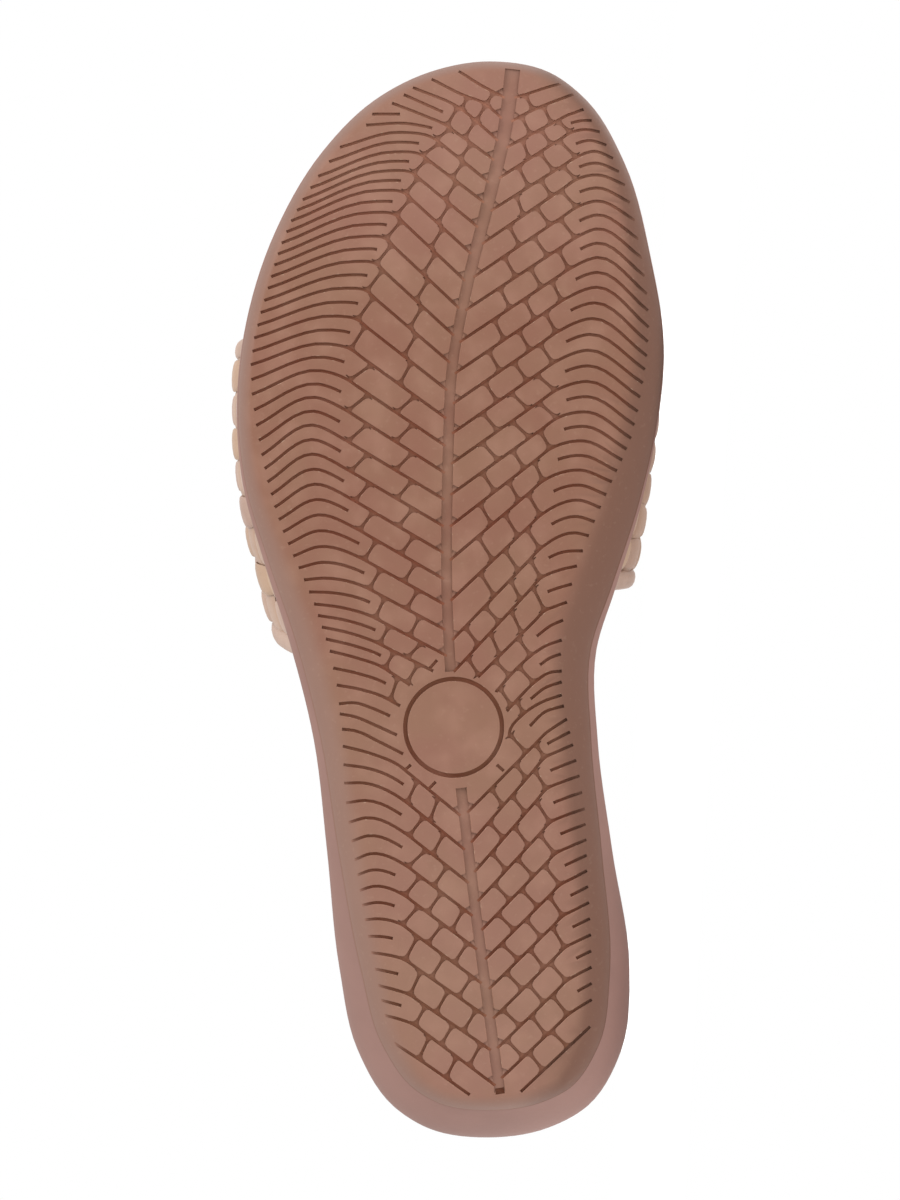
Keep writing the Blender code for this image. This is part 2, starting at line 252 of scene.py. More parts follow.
def lofted(name, rings):
    """A closed plate through rings of points, lowest first."""
    bpy.ops.object.select_all(action="DESELECT")
    bpy.ops.mesh.primitive_circle_add(vertices=len(rings[0]), fill_type="NGON")
    piece = bpy.context.object
    piece.name = piece.data.name = name
    bpy.ops.object.mode_set(mode="EDIT")
    for _ in rings[1:]:
        bpy.ops.mesh.extrude_region_move(TRANSFORM_OT_translate={"value": (0, 0, 1)})
    bpy.ops.object.mode_set(mode="OBJECT")
    piece.data.vertices.foreach_set("co", np.vstack(rings).ravel())
    face_outwards(piece)
    return piece


def slice_across(piece, start, end, step):
    """Cuts all faces of a piece across the shoe, at even steps along it."""
    pick(piece)
    bpy.ops.object.mode_set(mode="EDIT")
    for x in np.arange(start, end, step):
        bpy.ops.mesh.select_all(action="SELECT")
        bpy.ops.mesh.bisect(plane_co=(x, 0, 0), plane_no=(1, 0, 0))
    bpy.ops.object.mode_set(mode="OBJECT")


def smooth_shade(piece, angle):
    pick(piece)
    bpy.ops.object.shade_smooth_by_angle(angle=math.radians(angle))


def triangles(piece):
    piece.data.calc_loop_triangles()
    return len(piece.data.loop_triangles)


# %% [markdown]
# ## Writing finishes as sums
# A finish is a material whose colour, gloss and grain come from nodes. Wiring nodes by hand is slow to
# read, so a small class wraps a socket: adding or multiplying two of them adds the Math node for it, and
# one method makes any other node.

# %% Finish and Value
class Value:
    """What a socket gives, so that shader maths reads as plain arithmetic."""

    def __init__(self, finish, socket):
        self.finish, self.socket = finish, socket

    def math(self, operation, other):
        return self.finish.node("Math", {"operation": operation}, {0: self, 1: other})

    def __add__(self, other):
        return self.math("ADD", other)

    def __mul__(self, other):
        return self.math("MULTIPLY", other)

    __radd__, __rmul__ = __add__, __mul__


class Finish:
    """A material in the making."""

    def __init__(self, name):
        self.material = bpy.data.materials.new(name)
        self.material.use_nodes = True
        self.tree = self.material.node_tree
        self.shader = self.tree.nodes["Principled BSDF"]

    def node(self, kind, settings=None, inputs=None, output=0):
        """Adds a node: its settings first, then a value or a link for each of its sockets."""
        made = self.tree.nodes.new("ShaderNode" + kind)
        for name, value in (settings or {}).items():
            setattr(made, name, value)
        for name, value in (inputs or {}).items():
            self.feed(made.inputs[name], value)
        return Value(self, made.outputs[output])

    def feed(self, socket, value):
        if isinstance(value, Value):
            self.tree.links.new(value.socket, socket)
        else:
            socket.default_value = value

    def set(self, **sockets):
        """Feeds the shader's sockets, named with _ for a space."""
        for name, value in sockets.items():
            self.feed(self.shader.inputs[name.replace("_", " ")], value)
        return self.material

    def place(self):
        return self.node("TexCoord", output=3)

    def noise(self, per_metre, detail=2.0, rough=0.5):
        sockets = {"Vector": self.place(), "Scale": per_metre, "Detail": detail, "Roughness": rough}
        return self.node("TexNoise", None, sockets)

    def creases(self, per_metre):
        """The distance to the nearest crease of a leather grain."""
        sockets = {"Vector": self.place(), "Scale": per_metre}
        return self.node("TexVoronoi", {"feature": "DISTANCE_TO_EDGE"}, sockets)

    def kept(self, label):
        """A number that is kept at every point of a piece."""
        return self.node("Attribute", {"attribute_name": label}, None, output=2)

    def mix(self, share, first, second):
        return self.node("Mix", {"data_type": "RGBA"}, {0: share, 6: first, 7: second}, output=2)

    def between(self, value, low, high):
        """0 below low, 1 above high, smooth between."""
        settings = {"interpolation_type": "SMOOTHSTEP"}
        return self.node("MapRange", settings, {"Value": value, "From Min": low, "From Max": high})

    def bump(self, height, depth, strength):
        return self.node("Bump", None, {"Height": height, "Distance": depth, "Strength": strength})


def paint(red, green, blue):
    """A colour as on a screen, from 0 to 255, for a shader."""
    linear = [((c / 255 + 0.055) / 1.055) ** 2.4 for c in (red, green, blue)]
    return (*linear, 1.0)


# %% [markdown]
# ## Brown rubber
# The outsole is one moulding of solid rubber: satin on the blocks and duller in the grooves, whose darker
# colour is painted shade. The edges of the blocks are paler, a painted highlight with more specks of dust.
# The rubber is a little darker under the ball of the foot than under the heel and paler again at the toe,
# which is painted light, most of all in the grooves. Soft clouds and patches, a greyer rim, painted shade
# on the inner rim and a few specks of dust are laid over that one after the other, and all of it has a fine
# moulded grain.

# %% Rubber finishes
HEEL_TO_BALL = (-105 * MM, 25 * MM)
# painted light: from the ball to the toe the rubber gets paler, most of all in the grooves
BALL_TO_LIT_TOE = (60 * MM, 105 * MM)
CLOUD_TONE = paint(128, 100, 76)
PATCH_TONE = paint(150, 112, 94)
RIM_TONE = paint(130, 100, 88)
# painted shade: the inner rim faces away from the lamp
INNER_RIM_SHADE = paint(103, 70, 55)
DUST_TONE = paint(186, 160, 138)


def rubber(name, heel, ball, toe, dust, gloss):
    finish = Finish(name)
    cloud = finish.noise(50, 4.0, 0.6)
    along = finish.node("SeparateXYZ", None, {0: finish.place()})
    colour = finish.mix(finish.between(along, *HEEL_TO_BALL), heel, ball)
    for share, tone in (
        # painted light towards the toe
        (finish.between(along, *BALL_TO_LIT_TOE), toe),
        (finish.between(cloud, 0.3, 0.7) * 0.3, CLOUD_TONE),
        (finish.between(finish.noise(130), 0.4, 0.8) * 0.35, PATCH_TONE),
        (finish.between(finish.kept("rim"), 0.0, 0.7) * 0.8, RIM_TONE),
        # painted shade on the inner rim
        (finish.between(finish.kept("inner_rim_shade"), 0.05, 0.45) * 0.9, INNER_RIM_SHADE),
        (finish.between(finish.noise(900), 0.6, 0.75) * dust, DUST_TONE),
    ):
        colour = finish.mix(share, colour, tone)
    grain = finish.noise(2600) + finish.noise(420) * 0.8
    return finish.set(
        Base_Color=colour,
        Roughness=gloss - 0.1 + cloud * 0.2,
        Specular_IOR_Level=0.3,
        Normal=finish.bump(grain, 0.05 * MM, 0.5),
    )


TREAD = rubber("tread_rubber", paint(131, 93, 78), paint(122, 81, 64), paint(130, 90, 75), 0.05, 0.55)
# painted shade: the finishes of the grooves and cross grooves are darker than the tread's
SHADED_GROOVE = rubber("shaded_groove_rubber", paint(122, 70, 49), paint(126, 70, 49), paint(148, 98, 78), 0.05, 0.8)
SHADED_CROSS = rubber("shaded_cross_rubber", paint(122, 74, 55), paint(122, 74, 55), paint(138, 92, 74), 0.05, 0.8)
# painted highlight: the edges of the blocks are paler, with more specks of dust
DUSTY_EDGE_HIGHLIGHT = rubber("dusty_rubber_edge_highlight", paint(150, 110, 92), paint(138, 96, 78), paint(148, 106, 90), 0.5, 0.6)
print("finishes:", TREAD.name, SHADED_GROOVE.name, SHADED_CROSS.name, DUSTY_EDGE_HIGHLIGHT.name)

# %% [markdown]
# ## The outsole before cutting
# The rubber plate has an edge that rolls up as a quarter circle does. It is lofted flat, because grooves
# are easier to cut in a flat face; the toe is lifted when they are done.

# %% Outsole blank
OUTSOLE_EDGE = 5.0 * MM
JOINT_LINE = 0.7 * MM
ROLL_END = math.radians(70)
ROLL_STEPS = 7
TOE_SLICE = 4.0 * MM

line_start = math.acos(1 - (1 - JOINT_LINE / OUTSOLE_EDGE) * (1 - math.cos(ROLL_END)))
rings = []
for angle in [*np.linspace(0, line_start, ROLL_STEPS), ROLL_END]:
    out = math.sin(angle) / math.sin(ROLL_END)
    rise = OUTSOLE_EDGE * (1 - math.cos(angle)) / (1 - math.cos(ROLL_END))
    rings.append(ring(FLARE + ROLL * (1 - out), lambda x, rise=rise: np.full(len(x), rise)))
outsole = lofted("outsole_tread", rings)
slice_across(outsole, SPRING_START, TOE_END[0] * MM, TOE_SLICE)
outsole.data.materials.append(TREAD)
print(f"outsole blank: {triangles(outsole)} triangles")

# %% [markdown]
# ## The plan of the leaf
# Four fields of ribs stand beside the vein. Every groove between two ribs starts at the vein, runs
# straight to a knee and curves over a crest to the edge of the tread. Only some grooves are listed, by
# their number; the others follow by blending, which keeps their rhythm even.

# %% Groove tables
# number, then along and across at the vein, at the knee, at the crest and at the end, in mm
FRONT_OUTER = (
    (0, 227.9, -0.5, 234.6, -9.6, 236.9, -14.7, 239.9, -22.2),
    (1, 222.9, -1.8, 231.4, -12.2, 233.0, -20.4, 229.5, -34.2),
    (2, 217.8, -2.5, 227.7, -15.4, 228.4, -21.6, 222.7, -39.2),
    (4, 205.9, -5.3, 218.8, -19.3, 219.4, -25.0, 212.3, -45.4),
    (7, 186.7, -8.9, 202.5, -26.1, 202.9, -30.7, 196.7, -50.7),
    (10, 167.6, -10.8, 182.8, -31.9, 183.9, -36.9, 179.1, -54.6),
    (13, 148.8, -11.2, 161.9, -33.0, 165.3, -40.6, 158.4, -52.1),
    (16, 130.5, -11.2, 141.5, -30.3, 144.7, -39.2, 140.8, -47.2),
    (18, 118.8, -10.8, 128.0, -28.0, 130.2, -37.6, 129.8, -42.4),
    (19, 113.0, -10.8, 121.3, -26.6, 123.4, -33.5, 124.3, -40.1),
    (20, 108.9, -12.8, 115.3, -25.5, 117.6, -31.9, 119.0, -38.3),
    (21, 105.7, -18.1, 109.6, -24.1, 111.9, -30.3, 113.5, -36.5),
    (22, 100.9, -20.4, 102.5, -23.2, 104.6, -29.1, 105.7, -34.9),
)
FRONT_INNER = (
    (0, 229.5, 4.1, 237.1, 18.3, 237.8, 20.2, 238.5, 22.0),
    (1, 222.4, 2.5, 233.0, 19.0, 233.7, 22.0, 233.2, 25.7),
    (2, 215.3, 1.4, 227.2, 20.2, 228.6, 24.3, 227.0, 28.7),
    (3, 207.5, -0.9, 222.0, 20.2, 223.1, 24.8, 220.8, 31.4),
    (5, 192.8, -3.7, 208.4, 19.9, 210.5, 24.8, 203.8, 35.3),
    (7, 178.4, -6.0, 193.8, 16.7, 197.0, 24.8, 187.8, 36.7),
    (9, 164.2, -7.3, 179.5, 14.7, 182.5, 22.7, 175.0, 35.3),
    (11, 150.2, -7.6, 166.9, 15.6, 168.3, 22.7, 162.3, 32.6),
    (13, 135.3, -7.8, 152.5, 12.4, 155.0, 20.9, 152.3, 28.2),
    (15, 118.3, -6.2, 136.9, 11.7, 140.6, 19.7, 139.9, 22.9),
    (16, 110.3, -6.6, 130.2, 11.9, 132.1, 16.3, 133.0, 20.2),
    (17, 107.5, -2.5, 122.7, 12.8, 123.8, 15.4, 124.7, 17.9),
)
HEEL_OUTER = (
    (0, 76.8, -7.8, 87.1, -20.4, 89.9, -26.8, 91.7, -33.5),
    (1, 68.8, -6.6, 78.7, -18.8, 83.2, -28.4, 83.2, -33.2),
    (3, 53.7, -5.0, 64.0, -18.6, 67.0, -27.3, 65.4, -31.2),
    (5, 38.1, -2.8, 50.7, -19.9, 52.1, -25.5, 51.8, -28.7),
    (7, 22.7, -0.7, 34.6, -18.1, 36.0, -22.2, 36.9, -25.9),
    (8, 14.4, 0.7, 27.7, -17.0, 29.1, -20.6, 30.0, -24.3),
)
HEEL_INNER = (
    (0, 77.0, -4.4, 94.7, 13.1, 96.3, 15.4, 97.9, 17.9),
    (1, 70.6, -3.2, 89.0, 12.8, 90.6, 16.1, 92.0, 19.3),
    (3, 56.6, -2.1, 74.1, 14.0, 75.9, 17.9, 77.3, 22.0),
    (5, 43.1, -0.5, 59.8, 16.3, 61.5, 19.5, 63.1, 22.5),
    (7, 30.0, 1.8, 45.4, 17.4, 47.0, 20.4, 48.4, 23.4),
    (9, 16.3, 3.7, 30.0, 18.1, 31.9, 20.9, 33.5, 23.6),
)
# single grooves at the toe, beside the ring and at the heel's end: along and across of their points, in mm
SINGLE_OUTER = (
    ((241.7, 3.0), (244.0, -1.4), (247.5, -6.8)),
    ((237.6, 1.8), (239.6, -0.5), (242.1, -6.4), (245.6, -13.1)),
    ((232.7, 0.5), (235.7, -2.8), (238.5, -6.2), (243.6, -17.4)),
    ((237.8, -10.5), (241.9, -19.5)),
    ((237.3, -20.4), (237.3, -26.8)),
    ((98.6, -22.7), (100.4, -26.8), (101.6, -30.7), (101.4, -34.4)),
    ((94.2, -21.1), (96.5, -26.1), (98.4, -30.7), (99.1, -34.2)),
    ((89.9, -19.7), (92.6, -25.0), (95.2, -30.7), (95.6, -33.7)),
    ((11.7, -4.4), (19.7, -15.8), (23.6, -21.8)),
)
SINGLE_INNER = (
    ((241.3, 6.0), (241.9, 8.3), (243.4, 12.8), (244.7, 17.0)),
    ((235.7, 5.3), (238.2, 10.1), (242.1, 19.7)),
    ((104.1, 1.6), (107.8, 4.8), (112.4, 9.6), (114.7, 13.1), (116.0, 16.7)),
    ((99.7, 4.1), (103.0, 7.1), (106.6, 10.8), (108.5, 13.8), (108.9, 16.7)),
    ((93.6, 4.6), (95.2, 4.8), (99.1, 8.0), (101.8, 12.2), (103.4, 16.7)),
    ((116.9, 11.0), (119.2, 14.0), (120.6, 17.0)),
    ((110.3, 11.7), (111.9, 14.0), (112.8, 16.5)),
    ((102.5, 9.6), (105.0, 12.8), (106.4, 16.7)),
    ((96.3, 9.4), (99.5, 12.8), (100.9, 17.2)),
    ((12.4, 7.3), (27.3, 23.2)),
)
# cross grooves at the toe, beside the ring and at the heel's end, in two sets so that neighbours are apart:
# both ends, in mm
LOOSE_CROSSES = (
    (
        ((235.7, -2.8), (239.6, -0.5)), ((238.5, -6.2), (241.2, -4.8)), ((238.5, 10.3), (241.5, 8.7)),
        ((113.7, -21.6), (109.6, -23.8)), ((110.8, -16.1), (106.4, -18.6)), ((105.0, 2.5), (101.1, 5.0)),
        ((109.1, 7.6), (106.2, 10.3)), ((20.1, -7.7), (15.6, -9.9)), ((24.8, -13.9), (20.0, -16.0)),
    ),
    (
        ((239.6, -0.5), (242.1, 1.1)), ((231.8, -5.5), (235.5, -3.2)), ((234.6, -9.6), (238.9, -7.1)),
        ((233.2, 9.4), (236.9, 7.6)), ((235.0, 14.7), (239.4, 12.6)), ((107.5, -20.9), (102.5, -22.5)),
        ((111.0, 1.6), (107.8, 4.8)), ((116.3, 6.9), (112.4, 9.6)), ((102.0, 6.4), (99.1, 8.0)),
        ((94.5, 5.0), (90.8, 8.0)), ((21.5, 9.1), (17.3, 12.4)), ((26.3, 14.4), (22.8, 18.0)),
    ),
)
# stubs that leave a groove towards the ring, in mm
STUBS = (
    ((86.0, 3.4), (87.4, 1.8)), ((86.2, -19.3), (87.4, -17.9)),
    ((81.9, -13.8), (83.5, -12.2)), ((109.6, -13.5), (111.4, -11.9)),
)
# along and across of the vein in front of and behind the ring, and of the pit at its heel end, in mm
VEIN_FRONT = (
    (248.0, 5.7), (235.3, 4.1), (219.2, 0.5), (194.0, -5.7), (177.9, -8.5),
    (160.0, -9.3), (140.0, -9.7), (125.2, -9.6), (108.8, -8.8),
)
VEIN_HEEL = ((82.1, -6.4), (49.5, -2.5), (12.4, 2.5))
VEIN_PIT = ((13.2, 2.4), (11.9, 2.6))
# field, number of the first rib and of the one after the last, and where a cross groove leaves the front and
# meets the rear groove of its rib, as shares of the way from vein to knee
RIB_CROSSES = (
    (FRONT_OUTER, 0, 10, ((0.37, 0.46), (0.90, 0.99))),
    (FRONT_OUTER, 10, 20, ((0.29, 0.47), (0.76, 0.97))),
    (FRONT_INNER, 0, 15, ((0.26, 0.42), (0.56, 0.73), (0.83, 1.0))),
    (FRONT_INNER, 15, 16, ((0.04, 0.23), (0.29, 0.49), (0.62, 0.75), (0.87, 1.0))),
    (FRONT_INNER, 16, 17, ((0.09, 0.02), (0.37, 0.33), (0.63, 0.66), (0.9, 1.0))),
    (HEEL_OUTER, 0, 3, ((0.30, 0.57), (0.68, 1.0))),
    (HEEL_OUTER, 3, 8, ((0.06, 0.30), (0.43, 0.66), (0.79, 1.0))),
    (HEEL_INNER, 0, 1, ((0.28, 0.40), (0.60, 0.74), (0.86, 1.0))),
    (HEEL_INNER, 1, 7, ((0.20, 0.38), (0.53, 0.70), (0.85, 1.0))),
    (HEEL_INNER, 7, 9, ((0.08, 0.29), (0.46, 0.66), (0.78, 1.0))),
)


def all_grooves(rows):
    """Every groove of a field as four points: vein, knee, crest, end."""
    numbers = np.arange(rows[0][0], rows[-1][0] + 1)
    return table_curve(rows, numbers).reshape(-1, 4, 2) * MM


# %% [markdown]
# ## Drawing a groove
# Each groove is a line with a section swept along it. A cross groove gets wider along a small arc at both
# ends, so that the corners of the rubber blocks come out round, as a mould's are. The vein gets wider
# towards the toe, and where a groove opens into it, a small wedge takes the sharp tip off the block in
# front.

# %% Groove lines
GROOVE_WIDTH = 0.7 * MM
VEIN_WIDTH = 2.5 * MM
VEIN_SPREAD = 1.45
SPREAD_START = 190.0 * MM
VEIN_NEAR = 1.95 * MM
TIP_CUT = 1.4 * MM
CORNER_ROUND = 1.3 * MM
KNEE_EASE = 0.85
LINE_STEPS = 6
FILLET_STEPS = 6
CLOSE = 0.1 * MM


def with_stops(line, stops):
    """The line with more points on it, at these distances from its start, and all distances."""
    along = distances(line)
    stops = np.unique(np.round(np.concatenate([along, stops]), 7))
    return np.column_stack([np.interp(stops, along, line[:, axis]) for axis in (0, 1)]), stops


def closely(lines):
    """All the lines as one set of points that lie close together."""
    return np.vstack([with_stops(line, np.arange(0, distances(line)[-1], CLOSE))[0] for line in lines])


def vein_spread(points):
    """Width factors of the vein, which gets wider towards the toe."""
    share = (points[:, 0] - SPREAD_START) / (TOE_END[0] * MM - SPREAD_START)
    return 1 + (VEIN_SPREAD - 1) * np.clip(share, 0, 1)


vein_lines = [smooth_line(np.array(rows) * MM, 4) for rows in (VEIN_FRONT, VEIN_HEEL)]
vein_points = closely(vein_lines)
vein_half = VEIN_WIDTH / 2 * vein_spread(vein_points)


def vein_gap(points):
    """How far each of these points is from the wall of the vein, and below 0 inside it."""
    return (np.linalg.norm(points[:, None] - vein_points, axis=2) - vein_half).min(axis=1)


def plain(line):
    return line, np.ones(len(line))


def to_vein(line):
    """The line drawn on into the vein, and where it meets the vein's wall; None if it starts elsewhere."""
    if vein_gap(line[:1])[0] > VEIN_NEAR:
        return line, None
    way = (line[0] - line[1]) / np.linalg.norm(line[0] - line[1])
    trial = line[0] + way * np.arange(-2 * MM, 4 * MM, CLOSE)[:, None]
    wall = trial[np.argmax(vein_gap(trial) < 0)]
    return np.vstack([wall + way * VEIN_WIDTH / 4, line[1:]]), wall


def tip_cut(line, wall):
    """A wedge over the tip of the block between the vein and this groove, with its width factors."""
    out = (line[1] - wall) / np.linalg.norm(line[1] - wall)
    i = np.linalg.norm(vein_points - wall, axis=1).argmin()
    ahead = vein_points[max(i - 8, 0)] - vein_points[i + 8]
    ahead /= np.linalg.norm(ahead)
    angle = math.acos(out @ ahead)
    half = GROOVE_WIDTH / 2
    corner = wall + ahead * half / math.sin(angle)
    stops = np.linspace(-half, TIP_CUT, FILLET_STEPS)
    points = corner + np.outer(stops, (out + ahead) / np.linalg.norm(out + ahead))
    return points, np.maximum(1, stops * math.tan(angle / 2) / half + 0.15)


def cross_groove(start, end):
    """A groove between the middles of two others, with width factors that round the corners at both."""
    way = (end - start) / np.linalg.norm(end - start)
    wall, overlap = GROOVE_WIDTH / 2, 0.12 * MM
    line = np.array([start + way * overlap, end - way * overlap])
    total = distances(line)[-1]
    fillet = min(CORNER_ROUND, total / 2 - wall)
    arc = wall - overlap + fillet * (1 - np.cos(np.linspace(0, math.pi / 2, FILLET_STEPS)))
    points, stops = with_stops(line, np.concatenate([arc, total - arc]))
    from_wall = np.minimum(stops, total - stops) - (wall - overlap)
    left = fillet - np.clip(from_wall, 0, fillet)
    return points, 1 + (fillet - np.sqrt(fillet ** 2 - left ** 2)) / wall


def rib_grooves(rows, first_short, last_short):
    """The grooves of a field and, between each two, a short one that leaves out a share of the curve."""
    lines = []
    curves = []
    for vein, knee, crest, end in all_grooves(rows):
        before = vein + (knee - vein) * KNEE_EASE
        line = smooth_line([vein, before, knee, crest, end], LINE_STEPS)
        lines.append(line)
        curves.append(line[2 * LINE_STEPS:])
    starts = np.linspace(first_short, last_short, len(curves) - 1)
    for rear, front, start in zip(curves, curves[1:], starts):
        middle = (rear + front) / 2
        lines.append(middle[round(start * len(middle)):])
    return lines


def cross_grooves(odd, main_points):
    """The short grooves that cut every other rib into bricks, the even or the odd ones."""
    ends = [np.array(pair) * MM for pair in LOOSE_CROSSES[odd]]
    for rows, first, last, shares in RIB_CROSSES:
        grooves = all_grooves(rows)
        for rib in [number for number in range(first, last) if number % 2 == odd]:
            front, rear = grooves[rib], grooves[rib + 1]
            for near, far in shares:
                start = front[0] + (front[1] - front[0]) * near
                ends.append((start, rear[0] + (rear[1] - rear[0]) * far))
    lines = []
    for pair in ends:
        nearest = [np.argmin(np.linalg.norm(main_points - end, axis=1)) for end in pair]
        lines.append(cross_groove(*main_points[nearest]))
    return lines


# %% [markdown]
# ## Cutting the tread
# The lines become curves with a section, the curves become meshes, and one Boolean takes all of them out
# of the rubber. Grooves that cross each other are in different cutters. The cut faces keep the cutter's
# finish, the painted shade of most grooves, and the narrow chamfer where a groove meets the surface gets a
# paler finish, a painted highlight with specks of dust.

# %% Cutters
GROOVE_DEPTH = 0.95 * MM
CROSS_DEPTH = 0.8 * MM
TIP_DEPTH = 0.55 * MM
VEIN_DEPTH = 0.9 * MM
PIT_DEPTH = 1.5 * MM
PIT_WIDTH = 2.1 * MM
RING_DEPTH = 1.2 * MM
RING_WIDTH = 1.0 * MM
RING_RADIUS = 11.1 * MM
RING_CENTRE = np.array([96.0, -8.1]) * MM
CHAMFER = 0.12 * MM
DRAFT = 0.06 * MM
OVERCUT = 0.3 * MM


def groove_section(width, depth):
    """A groove's section, floor at 0: walls with a little draft, a chamfer at the surface, open below."""
    half = width / 2
    wide = half + CHAMFER
    side = [(half - DRAFT, 0), (half, CHAMFER - depth), (wide, -depth), (wide, -depth - OVERCUT)]
    outline = side + [(-x, y) for x, y in reversed(side)]
    curve = bpy.data.curves.new("section", "CURVE")
    curve.dimensions = "2D"
    spline = curve.splines.new("POLY")
    spline.points.add(len(outline) - 1)
    spline.points.foreach_set("co", np.array([(x, y, 0, 1) for x, y in outline]).ravel())
    spline.use_cyclic_u = True
    section = bpy.data.objects.new("section", curve)
    bpy.context.scene.collection.objects.link(section)
    return section


def groove_cutter(name, lines, width, depth, finish, closed=False):
    """One mesh of all the grooves swept along these lines."""
    section = groove_section(width, depth)
    curve = bpy.data.curves.new(name, "CURVE")
    curve.dimensions, curve.twist_mode = "3D", "Z_UP"
    curve.bevel_mode, curve.bevel_object, curve.use_fill_caps = "OBJECT", section, True
    for points, factors in lines:
        spline = curve.splines.new("POLY")
        spline.points.add(len(points) - 1)
        places = np.column_stack([points, np.full(len(points), depth), np.ones(len(points))])
        spline.points.foreach_set("co", places.ravel())
        spline.points.foreach_set("radius", factors)
        spline.use_cyclic_u = closed
    cutter = bpy.data.objects.new(name, curve)
    bpy.context.scene.collection.objects.link(cutter)
    pick(cutter)
    bpy.ops.object.convert(target="MESH")
    cutter.data.materials.append(finish)
    cutter.data.materials.append(DUSTY_EDGE_HIGHLIGHT)
    face_outwards(cutter)
    # the chamfer faces take the paler edge finish, a painted highlight
    for face in cutter.data.polygons:
        face.material_index = 0 < face.center.z < CHAMFER
    bpy.data.objects.remove(section)
    return cutter


def cut_with(piece, cutters):
    """Takes all the cutters out of a piece in one go, and removes them."""
    tray = bpy.data.collections.new("cutters")
    for cutter in cutters:
        tray.objects.link(cutter)
    pick(piece)
    cut = piece.modifiers.new("cut", "BOOLEAN")
    cut.operation, cut.solver, cut.operand_type, cut.collection = "DIFFERENCE", "EXACT", "COLLECTION", tray
    cut.material_mode = "TRANSFER"
    bpy.ops.object.modifier_apply(modifier=cut.name)
    for cutter in cutters:
        bpy.data.objects.remove(cutter)
    bpy.data.collections.remove(tray)


def single_grooves(rows):
    return [smooth_line(np.array(row) * MM, LINE_STEPS) for row in rows]


def main_cutters(lines):
    """The cutters of the grooves on one side of the vein, and of the tips of the blocks between them."""
    drawn = [to_vein(line) for line in lines]
    grooves = [plain(line) for line, _ in drawn]
    tips = [tip_cut(line, wall) for line, wall in drawn if wall is not None]
    return [
        groove_cutter("grooves", grooves, GROOVE_WIDTH, GROOVE_DEPTH, SHADED_GROOVE),
        groove_cutter("tips", tips, GROOVE_WIDTH, TIP_DEPTH, TREAD),
    ]


# %% [markdown]
# ## The leaf
# All the lines come together: the fields on both sides of the vein, the single grooves, the cross
# grooves, the vein with the pit at its heel end and the ring round the bare disc. One cut makes the whole
# tread.

# %% Cut the leaf
outer_lines = rib_grooves(FRONT_OUTER, 0.15, 0.0) + rib_grooves(HEEL_OUTER, 0.0, 0.3)
outer_lines += single_grooves(SINGLE_OUTER)
inner_lines = rib_grooves(FRONT_INNER, 0.1, 0.15) + rib_grooves(HEEL_INNER, 0.1, 0.4)
inner_lines += single_grooves(SINGLE_INNER)
main_points = closely(outer_lines + inner_lines)
cutters = main_cutters(outer_lines) + main_cutters(inner_lines)
for odd in (0, 1):
    cross_lines = cross_grooves(odd, main_points)
    cutters.append(groove_cutter("cross_grooves", cross_lines, GROOVE_WIDTH, CROSS_DEPTH, SHADED_CROSS))

stub_lines = [plain(np.array(ends) * MM) for ends in STUBS]
cutters.append(groove_cutter("stubs", stub_lines, GROOVE_WIDTH, CROSS_DEPTH, SHADED_GROOVE))
vein_widths = [(line, vein_spread(line)) for line in vein_lines]
cutters.append(groove_cutter("vein", vein_widths, VEIN_WIDTH, VEIN_DEPTH, TREAD))
cutters.append(groove_cutter("vein_pit", [plain(np.array(VEIN_PIT) * MM)], PIT_WIDTH, PIT_DEPTH, SHADED_GROOVE))
turn = np.linspace(0, 2 * math.pi, 97)[:-1]
circle = RING_CENTRE + RING_RADIUS * np.column_stack([np.cos(turn), np.sin(turn)])
cutters.append(groove_cutter("ring", [plain(circle)], RING_WIDTH, RING_DEPTH, SHADED_GROOVE, closed=True))
cut_with(outsole, cutters)
print(f"tread: {len(outer_lines) + len(inner_lines)} grooves, {triangles(outsole)} triangles")

# %% [markdown]
# ## The rim and the toe
# Every point of the rubber keeps how far out on the rolled edge it lies, for the greyer rim, and the same
# on the inner side alone, for the painted shade of the inner rim, which faces away from the lamp. A narrow
# band at the joint line gets the dark finish of the grooves, painted shade in the crevice between rubber
# and foam. The flat plate is bent last: every point rises by the toe spring at its place. Large faces then
# count most in the shading, so that slivers beside a cut don't show.

# %% Rim and toe spring
INNER_RIM = 1.6


def mark(piece, label, values):
    """Keeps a number at every point of a piece, for its finish to read."""
    column = piece.data.attributes.new(label, "FLOAT", "POINT")
    column.data.foreach_set("value", np.broadcast_to(values, len(piece.data.vertices)).astype(np.float32))


joint = PLAN - OUTWARD * FLARE[:, None]
points = points_of(outsole)
nearest = np.linalg.norm(points[:, None, :2] - joint, axis=2).argmin(axis=1)
inside = ((joint[nearest] - points[:, :2]) * OUTWARD[nearest]).sum(axis=1)
mark(outsole, "rim", np.clip(1 - inside / ROLL[nearest], 0, 1))
# painted shade: kept for the inner rim alone, which faces away from the lamp
inner_rim_shade = np.clip(1 - inside / (INNER_RIM * ROLL[nearest]), 0, 1)
mark(outsole, "inner_rim_shade", inner_rim_shade * np.clip(OUTWARD[nearest, 1], 0, 1))
# painted shade: a narrow band at the joint line gets the shaded groove finish
joint_shade_slot = outsole.data.materials.find(SHADED_GROOVE.name)
for face in outsole.data.polygons:
    if face.center.z > OUTSOLE_EDGE - JOINT_LINE and abs(face.normal.z) < 0.9:
        face.material_index = joint_shade_slot

points[:, 2] += tread_height(points[:, 0])
outsole.data.vertices.foreach_set("co", points.ravel())
smooth_shade(outsole, 32)
even = outsole.modifiers.new("even_shading", "WEIGHTED_NORMAL")
even.keep_sharp = True
bpy.ops.object.modifier_apply(modifier=even.name)
print(f"toe lifted by {points[:, 2].max() / MM - OUTSOLE_EDGE / MM:.1f} mm")

